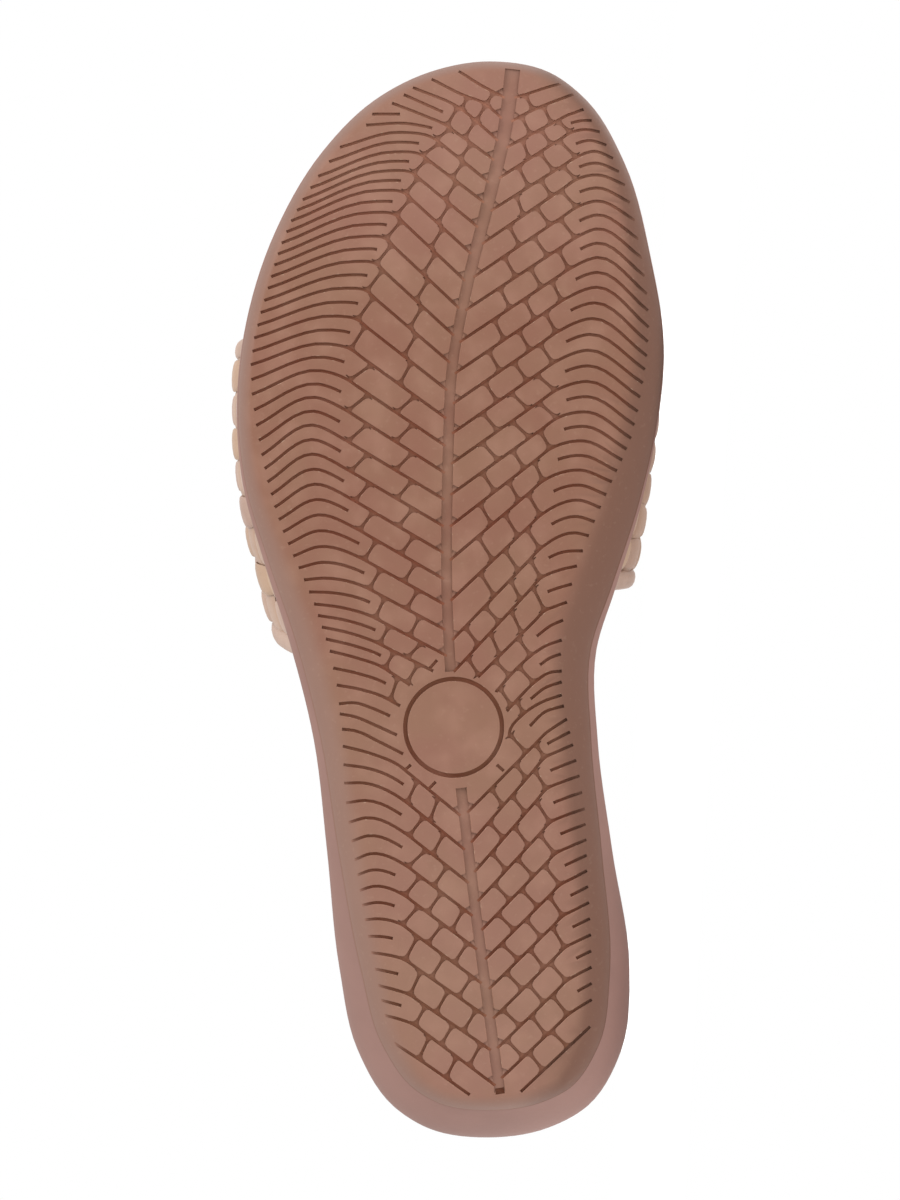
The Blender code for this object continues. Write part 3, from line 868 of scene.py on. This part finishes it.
# %% [markdown]
# ## The foam midsole
# Behind the joint line the foam flares out to its full width and then leans in to a soft rim under the
# footbed. It is a smooth moulding, so the loft only needs finer rings than the solid has.

# %% Midsole
FLARE_SLOPE = 1.5
FLARE_FOOT = 0.4 * MM
FLARE_POWER = 1.6
RIM_LEAN = 1.2 * MM
RIM_ROUND = 0.8 * MM
LAYER_SLICE = 4.0 * MM

foot = OUTSOLE_EDGE + GAP
rise = FLARE_SLOPE * FLARE + FLARE_FOOT
rings = []
for share in np.linspace(0, 1, 7):
    level = foot + rise * share
    rings.append(ring(FLARE * (1 - share) ** FLARE_POWER, lambda x, level=level: tread_height(x) + level))
for share in np.linspace(0, 1, 6)[1:]:
    points = ring(RIM_LEAN * share ** 1.5, midsole_top)
    low = tread_height(points[:, 0]) + foot + rise
    points[:, 2] = low + (points[:, 2] - RIM_ROUND - low) * share
    rings.append(points)
for angle in np.radians((30, 60, 90)):
    sink = RIM_ROUND * (1 - math.sin(angle))
    inset = RIM_LEAN + RIM_ROUND * (1 - math.cos(angle))
    rings.append(ring(inset, lambda x, sink=sink: midsole_top(x) - sink))
midsole = lofted("midsole_foam", rings)
slice_across(midsole, 2 * MM, TOE_END[0] * MM, LAYER_SLICE)
smooth_shade(midsole, 40)
print(f"midsole: {triangles(midsole)} triangles")

# %% [markdown]
# ## Pinkish foam
# The foam has the skin that its mould gave it: half matt, a little cloudy and with a shallow pebble
# grain.

# %% Foam finish
foam = Finish("pink_brown_foam")
cloud = foam.noise(40, 4.0, 0.6)
pebble = foam.noise(1500) + foam.noise(300, 3.0) * 0.7
foam_colour = foam.mix(foam.between(cloud, 0.3, 0.7), paint(131, 97, 87), paint(139, 104, 94))
FOAM = foam.set(
    Base_Color=foam_colour,
    Roughness=0.5 + cloud * 0.2,
    Normal=foam.bump(pebble, 0.06 * MM, 0.4),
)
midsole.data.materials.append(FOAM)
print("finish:", FOAM.name)

# %% [markdown]
# ## The footbed
# The footbed is a leather cover over a moulded filling, cupped round the foot. Its edge stands a little
# inside the foam's rim, and it gives way to the strap's feet at both sides, where the leather strips go
# down between footbed and foam.

# %% Footbed
INSOLE_FLOOR = 4.6 * MM
INSOLE_INSET = 1.8 * MM
INSOLE_ROUND = 1.2 * MM
CUP_POWER = 3.5
CUP_RINGS = np.array((4.0, 6.0, 8.5, 11.5, 15.0, 19.0)) * MM
STRAP_REAR = (111.5 * MM, 127.0 * MM)
STRAP_FRONT = (187.0 * MM, 200.5 * MM)
STRAP_ROOM = 4.6 * MM
ROOM_EASE = 2.5 * MM


def smoothstep(low, high, value):
    share = np.clip((value - low) / (high - low), 0, 1)
    return share * share * (3 - 2 * share)


def side_edges(x):
    """Across places of the outline's outer and inner edge at x."""
    outer = PLAN[: HALF + 1]
    inner = np.vstack([PLAN[HALF:], PLAN[:1]])[::-1]
    return np.interp(x, outer[:, 0], outer[:, 1]), np.interp(x, inner[:, 0], inner[:, 1])


def footbed_top(x, y):
    """The cupped top: a floor that rises to the lip at both sides."""
    outer, inner = side_edges(x)
    share = np.clip((y - outer) / (inner - outer), 0, 1)
    return midsole_top(x) + GAP + INSOLE_FLOOR + blend(THICKNESS, 2, x) * np.abs(2 * share - 1) ** CUP_POWER


side = np.where(np.arange(len(PLAN)) <= HALF, 0, 1)
rear, front = np.array(STRAP_REAR)[side], np.array(STRAP_FRONT)[side]
in_strap = smoothstep(rear - ROOM_EASE, rear, PLAN[:, 0])
in_strap *= 1 - smoothstep(front, front + ROOM_EASE, PLAN[:, 0])
footbed_inset = INSOLE_INSET + (STRAP_ROOM - INSOLE_INSET) * in_strap

rings = [
    ring(footbed_inset + INSOLE_ROUND / 2, lambda x: midsole_top(x) + GAP),
    ring(footbed_inset, lambda x: midsole_top(x) + GAP + INSOLE_ROUND / 2),
]
for angle in np.radians((0, 30, 60, 90)):
    points = ring(footbed_inset + INSOLE_ROUND * (1 - math.cos(angle)), midsole_top)
    points[:, 2] = footbed_top(points[:, 0], points[:, 1]) - INSOLE_ROUND * (1 - math.sin(angle))
    rings.append(points)
for inset in CUP_RINGS:
    points = ring(footbed_inset + inset, midsole_top)
    points[:, 2] = footbed_top(points[:, 0], points[:, 1])
    rings.append(points)
footbed = lofted("footbed", rings)
slice_across(footbed, 3 * MM, TOE_END[0] * MM, LAYER_SLICE)
smooth_shade(footbed, 40)
print(f"footbed: {triangles(footbed)} triangles")

# %% [markdown]
# ## Tan leather
# The cover is smooth tan leather. Its grain is a net of fine creases, made from the distance to the edges
# of small cells, with a little noise on top.

# %% Footbed leather
leather = Finish("tan_leather")
cloud = leather.noise(30, 4.0, 0.6)
grain = leather.between(leather.creases(650), 0.0, 0.25) + leather.noise(1800) * 0.4
leather_colour = leather.mix(leather.between(cloud, 0.3, 0.7), paint(172, 137, 112), paint(184, 149, 124))
LEATHER = leather.set(
    Base_Color=leather_colour,
    Roughness=0.5 + cloud * 0.15,
    Normal=leather.bump(grain, 0.08 * MM, 0.5),
)
footbed.data.materials.append(LEATHER)
print("finish:", LEATHER.name)

# %% [markdown]
# ## The strap's surface
# The strap arches over the foot from one side of the sole to the other. Its surface is worked out from
# how far it reaches out on both sides and how high its crown stands, at places along the shoe. A place on
# it has a share, from its rear to its front edge, and an arc, the way along it from the outer to the
# inner side.

# %% Strap surface
# along, outer reach, inner reach, crown over the midsole, in mm
STRAP = (
    (104.0, -50.0, 32.5, 60.5),
    (119.0, -53.6, 35.6, 58.0),
    (132.0, -57.0, 38.3, 55.0),
    (144.0, -59.6, 40.2, 52.0),
    (157.0, -61.2, 41.4, 48.5),
    (170.0, -61.8, 42.3, 45.5),
    (182.0, -61.4, 42.6, 42.5),
    (192.0, -60.0, 42.0, 40.0),
    (206.0, -56.0, 39.5, 37.0),
)
REAR_NARROWING = 7.0 * MM
FRONT_NARROWING = 6.0 * MM
STRAP_INSET = 1.4 * MM
STRAP_TURN = 3.0 * MM
RIDGE_SHIFT = 8.0 * MM
SECTION_POWER = 0.72
TUCK_POWER = 5
STRAP_END = 1.5


def strap_point(share, path):
    """Points of the strap's outer face; path goes from -1 to 1 over the foot and on as it turns in below."""
    side = np.sign(path)
    arc = np.clip(path, -1, 1)
    even = (arc + 1) / 2
    narrow = 1 - arc ** 2
    rear = STRAP_REAR[0] + (STRAP_REAR[1] - STRAP_REAR[0]) * even + REAR_NARROWING * narrow
    front = STRAP_FRONT[0] + (STRAP_FRONT[1] - STRAP_FRONT[0]) * even - FRONT_NARROWING * narrow
    x = rear + share * (front - rear)
    floor = midsole_top(x) + GAP
    outer, inner = side_edges(x)
    base = np.where(side < 0, outer, inner) - side * STRAP_INSET
    sine, cosine = np.sin(math.pi * even), np.abs(np.cos(math.pi * even))
    sine = np.clip(sine, 0, 1)
    reach_outer, reach_inner = blend(STRAP, 1, x), blend(STRAP, 2, x)
    ridge = (reach_outer + reach_inner) / 2 + RIDGE_SHIFT
    reach = np.where(side < 0, reach_outer, reach_inner)
    y = ridge + (reach - ridge) * cosine ** SECTION_POWER + (base - reach) * (1 - sine) ** TUCK_POWER
    foot = floor + STRAP_TURN
    crown = midsole_top(x) + blend(STRAP, 3, x)
    z = foot + (crown - foot) * sine ** SECTION_POWER
    turn = np.clip(np.abs(path) - 1, 0, 1) * math.pi / 2
    y = y - side * STRAP_TURN * (1 - np.cos(turn))
    z = z - STRAP_TURN * np.sin(turn)
    return np.stack([x, y, z], axis=-1)


fine_path = np.concatenate([
    np.linspace(-STRAP_END, -1, 40)[:-1],
    np.sin(np.linspace(-math.pi / 2, math.pi / 2, 2001)),
    np.linspace(1, STRAP_END, 40)[1:],
])
fine_arc = distances(strap_point(np.full(len(fine_path), 0.5), fine_path))
ARC_START, ARC_END = np.interp((-1, 1), fine_path, fine_arc)
STRAP_ARC = fine_arc[-1]
STRAP_WIDTH = distances(strap_point(np.linspace(0, 1, 50), np.zeros(50)))[-1]
ARC_STEP = 0.4 * MM
SHARE_STEP = 0.01


def strap_place(share, arc, height):
    """Points over the strap's surface at these shares and arcs, raised by these heights."""
    path = np.interp(arc, fine_arc, fine_path)
    ahead = np.interp(np.clip(arc + ARC_STEP, 0, STRAP_ARC), fine_arc, fine_path)
    behind = np.interp(np.clip(arc - ARC_STEP, 0, STRAP_ARC), fine_arc, fine_path)
    over = strap_point(share, ahead) - strap_point(share, behind)
    along = strap_point(share + SHARE_STEP, path) - strap_point(share - SHARE_STEP, path)
    normal = np.cross(along, over)
    normal /= np.linalg.norm(normal, axis=-1)[..., None]
    return strap_point(share, path) + normal * np.asarray(height)[..., None]


print(f"strap: {STRAP_ARC / MM:.0f} mm over the foot, {STRAP_WIDTH / MM:.0f} mm wide on top")

# %% [markdown]
# ## Leather strips
# The strap is a plain weave: strips that cross the foot go over and under strips that run along it. Each
# one is a flat tube with soft shoulders, rolled from a grid, whose middle line waves up and down. The
# strips across wave more than those along, except where the shoe lies on the strap and presses them even.
# Where a strip dives under its neighbour it is squeezed narrower, which leaves the small dark holes at
# the crossings.

# %% Strip tools
STRIPS_ACROSS = 8
STRIP_PITCH = 8.2 * MM
STRIPS_ALONG = round((ARC_END - ARC_START) / STRIP_PITCH)
EDGE_SHARE = 0.066
EDGE_TUCK = 0.4
TUCK_LEVEL = -0.6
STRIP_THICK = 1.5 * MM
STRIP_SIDES = 14
STRIP_STEP = 0.75 * MM
SHOULDER = 2.2
WAVE = 0.75 * MM
PROUD = 0.3 * MM
PRESSED = (0.6, 0.8)
WAVE_FLAT = 1.1
MID_LEVEL = -0.68 * MM
STRIP_COVER = 0.94
SQUEEZE = 0.26

share_pitch = (1 - 2 * EDGE_SHARE) / STRIPS_ACROSS
arc_pitch = (ARC_END - ARC_START) / STRIPS_ALONG


def section_turn(turn):
    """Across and up, from -1 to 1, round a strip's section with soft shoulders."""
    angle = 2 * math.pi * turn
    c, s = np.cos(angle), np.sin(angle)
    power = 2 / SHOULDER
    return np.sign(c) * np.abs(c) ** power, np.sign(s) * np.abs(s) ** power


def wave(count):
    """Up and down of a strip, 1 on top of a crossing and -1 under the next; count runs over crossings."""
    return np.tanh(WAVE_FLAT * np.cos(math.pi * (count - 0.5))) / math.tanh(WAVE_FLAT)


def proud(arc):
    """How much more the strips across wave than those along; nothing where the shoe lies on the strap."""
    return PROUD * (1 - smoothstep(*PRESSED, arc / STRAP_ARC))


def strip_half(pitch, level):
    """Half the width of a strip, which is squeezed where its level is low."""
    return pitch / 2 * STRIP_COVER * (1 - SQUEEZE * (1 - level) / 2)


def grid_piece(name, columns, rows, place):
    """A grid whose points are put in their places; place takes the two shares of the grid's sides."""
    bpy.ops.object.select_all(action="DESELECT")
    bpy.ops.mesh.primitive_grid_add(x_subdivisions=columns, y_subdivisions=rows)
    piece = bpy.context.object
    piece.name = piece.data.name = name
    shares = (points_of(piece) + 1) / 2
    piece.data.vertices.foreach_set("co", place(shares[:, 0], shares[:, 1]).ravel())
    return piece


def tube(name, length, place, tone, family):
    """A closed tube rolled from a grid; place takes the share of the length and of the turn."""
    piece = grid_piece(name, round(length / STRIP_STEP), STRIP_SIDES, place)
    face_outwards(piece)
    mark(piece, "tone", tone)
    mark(piece, "family", family)
    return piece


def strip_across(i):
    """Strip number i of those that cross the foot."""
    centre = EDGE_SHARE + share_pitch * (i + 0.5)

    def place(length, turn):
        arc = length * STRAP_ARC
        across, above = section_turn(turn)
        level = wave((arc - ARC_START) / arc_pitch + i)
        height = MID_LEVEL + (WAVE + proud(arc)) * level + above * STRIP_THICK / 2
        return strap_place(centre + across * strip_half(share_pitch, level), arc, height)

    return tube(f"strip_across_{i}", STRAP_ARC, place, rng.uniform(-1, 1), 0.0)


def strip_along(j):
    """Strip number j of those that run along the foot, tucked under both edge bands."""
    centre = ARC_START + arc_pitch * (j + 0.5)
    start, end = EDGE_SHARE * EDGE_TUCK, 1 - EDGE_SHARE * EDGE_TUCK

    def place(length, turn):
        share = start + (end - start) * length
        across, above = section_turn(turn)
        level = -wave((share - EDGE_SHARE) / share_pitch + j)
        under_band = (share < EDGE_SHARE) | (share > 1 - EDGE_SHARE)
        level = np.where(under_band, np.minimum(level, TUCK_LEVEL), level)
        height = MID_LEVEL + (WAVE - proud(centre)) * level + above * STRIP_THICK / 2
        return strap_place(share, centre + across * strip_half(arc_pitch, level), height)

    return tube(f"strip_along_{j}", STRAP_WIDTH, place, rng.uniform(-1, 1), 1.0)


def joined(name, pieces):
    pick(pieces[0])
    for piece in pieces[1:]:
        piece.select_set(True)
    bpy.ops.object.join()
    whole = bpy.context.object
    whole.name = whole.data.name = name
    return whole


# %% [markdown]
# ## The weave
# The strips are made one by one, first those over the foot and then those along it, and joined to one
# piece. Each has a tone of its own, as strips cut from different hides have.

# %% Weave the strap
strips = [strip_across(i) for i in range(STRIPS_ACROSS)] + [strip_along(j) for j in range(STRIPS_ALONG)]
weave = joined("strap_weave", strips)
smooth_shade(weave, 60)
print(f"weave: {STRIPS_ACROSS} by {STRIPS_ALONG} strips, {triangles(weave)} triangles")

# %% [markdown]
# ## Edge bands and lining
# Two plain bands close the weave in front and behind: the leather is folded round the edge, so their
# section is thick and takes in the lining. The lining is a thin smooth leather on the foot's side.

# %% Bands and lining
BAND_LEVEL = -0.9 * MM
BAND_THICK = 3.3 * MM
BAND_TONE = 0.2
LINING_LEVEL = -2.25 * MM
LINING_THICK = 0.6 * MM
LINING_GRID = (160, 24)


def edge_band(name, centre):
    def place(length, turn):
        across, above = section_turn(turn)
        height = BAND_LEVEL + above * BAND_THICK / 2
        return strap_place(centre + across * EDGE_SHARE / 2, length * STRAP_ARC, height)

    return tube(name, STRAP_ARC, place, BAND_TONE, 0.0)


def lining_place(length, width):
    share = EDGE_SHARE / 2 + (1 - EDGE_SHARE) * width
    return strap_place(share, length * STRAP_ARC, np.full(len(length), LINING_LEVEL))


bands = joined("strap_bands", [edge_band("rear", EDGE_SHARE / 2), edge_band("front", 1 - EDGE_SHARE / 2)])
smooth_shade(bands, 60)
lining = grid_piece("strap_lining", *LINING_GRID, lining_place)
wall = lining.modifiers.new("wall", "SOLIDIFY")
wall.thickness, wall.offset = LINING_THICK, 0
bpy.ops.object.modifier_apply(modifier=wall.name)
face_outwards(lining)
smooth_shade(lining, 40)
print(f"bands: {triangles(bands)} triangles, lining: {triangles(lining)} triangles")

# %% [markdown]
# ## Strip and lining leather
# The strips are beige leather with a soft sheen, some rosy and some golden, and the strips along the foot
# lean to gold. Their tone and family were kept at their points. The lining is plain and a little darker.

# %% Strap finishes
ROSE = (paint(162, 132, 117), paint(178, 150, 135))
GOLD = (paint(165, 133, 104), paint(180, 149, 120))
LINING_TAN = (paint(164, 131, 108), paint(176, 143, 119))


def strap_leather(name, tones, others=None):
    """Cloudy leather between two tones; with two others, each strip lies between both pairs."""
    finish = Finish(name)
    cloud = finish.noise(70, 4.0, 0.6)
    clouded = finish.between(cloud, 0.3, 0.7)
    colour = finish.mix(clouded, *tones)
    if others:
        strip = finish.between(finish.kept("tone") + finish.kept("family") * 0.5, -0.2, 1.4)
        colour = finish.mix(strip, colour, finish.mix(clouded, *others))
    grain = finish.between(finish.creases(1100), 0.0, 0.3) + finish.noise(2400) * 0.5
    return finish.set(
        Base_Color=colour,
        Roughness=0.38 + cloud * 0.2,
        Normal=finish.bump(grain, 0.05 * MM, 0.5),
    )


STRIP = strap_leather("beige_strip_leather", ROSE, GOLD)
LINING = strap_leather("lining_leather", LINING_TAN)
for piece, finish in ((weave, STRIP), (bands, STRIP), (lining, LINING)):
    piece.data.materials.append(finish)
print("finishes:", STRIP.name, LINING.name)

# %% [markdown]
# ## Putting the shoe together
# Every piece is laid down, rides on the shoe's one body and stands for the solid it covers, which is hidden.

# %% Assemble
for piece, node in ((outsole, "outsole"), (midsole, "midsole"), (footbed, "insole"), (weave, "upper")):
    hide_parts(node)
for piece, slot in (
    (outsole, "outsole"), (midsole, "midsole"), (footbed, "insole"),
    (weave, "upper"), (bands, "upper"), (lining, "upper"),
):
    lay_down(piece)
    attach(piece, "root")
print("pieces:", ", ".join(piece.name for piece in (outsole, midsole, footbed, weave, bands, lining)))

# %% [markdown]
# ## Floor and light
# The floor is plain and pale and glows softly, as the white sheet on a studio's light table does, so that
# the side the shoe lies on isn't lost in the dark. The light is a white room with one large soft lamp
# above the shoe and towards its toe, which is the upper left of the picture.

# %% Floor and light
FLOOR_SIDE = 8.0
FLOOR_TONE = (0.75, 0.75, 0.75, 1.0)
FLOOR_GLOW = 0.6
WHITE = (1.0, 1.0, 1.0, 1.0)
LAMP_PLACE = (0.5, -0.6, 1.0)
LAMP_AIM = Vector((0, 0, 50 * MM))
LAMP_SIZE = 0.7
LAMP_POWER = 7.5
ROOM_LIGHT = 1.0

bpy.ops.object.select_all(action="DESELECT")
bpy.ops.mesh.primitive_plane_add(size=FLOOR_SIDE)
floor = bpy.context.object
floor.name = "floor"
glow = {"Emission_Color": WHITE, "Emission_Strength": FLOOR_GLOW}
floor.data.materials.append(Finish("pale_floor").set(Base_Color=FLOOR_TONE, Roughness=0.9, **glow))

world = bpy.data.worlds.new("white_room")
bpy.context.scene.world = world
world.use_nodes = True
world.node_tree.nodes["Background"].inputs["Color"].default_value = WHITE
world.node_tree.nodes["Background"].inputs["Strength"].default_value = ROOM_LIGHT
bpy.ops.object.light_add(type="AREA", location=LAMP_PLACE)
lamp = bpy.context.object
lamp.data.size, lamp.data.energy = LAMP_SIZE, LAMP_POWER
lamp.rotation_euler = (LAMP_AIM - lamp.location).to_track_quat("-Z", "Y").to_euler()
print(f"lamp {(LAMP_AIM - lamp.location).length:.1f} m away")

# %% [markdown]
# ## Camera
# The camera looks straight at the tread, as far as the floor lets it go down, from far enough away for an
# even view. It is rolled so that the toe points up, and its lens follows from the size of a step in the
# picture.

# %% Camera
PICTURE_HEIGHT = 1200
PICTURE_STEP = 0.2293 * MM
CAMERA_WAY = 1.1
CAMERA_LOWEST = 1.5 * MM
SENSOR = 36.0
LOOK_AT = LYING @ (Vector((125.2, -8.94, 0.0)) * MM)

outwards = LYING.to_3x3() @ Vector((0, 0, -1))
eye = LOOK_AT + outwards * CAMERA_WAY
eye.z = max(eye.z, CAMERA_LOWEST)
ahead = (LOOK_AT - eye).normalized()
right = ahead.cross(LYING.to_3x3() @ Vector((1, 0, 0))).normalized()
top = right.cross(ahead)
bpy.ops.object.camera_add()
camera = bpy.context.object
camera.matrix_world = Matrix.Translation(eye) @ Matrix((right, top, -ahead)).transposed().to_4x4()
camera.data.sensor_width = SENSOR
camera.data.lens = SENSOR * (LOOK_AT - eye).length / (PICTURE_HEIGHT * PICTURE_STEP)
bpy.context.scene.camera = camera
print(f"camera {eye.z / MM:.0f} mm over the floor, lens {camera.data.lens:.0f} mm")
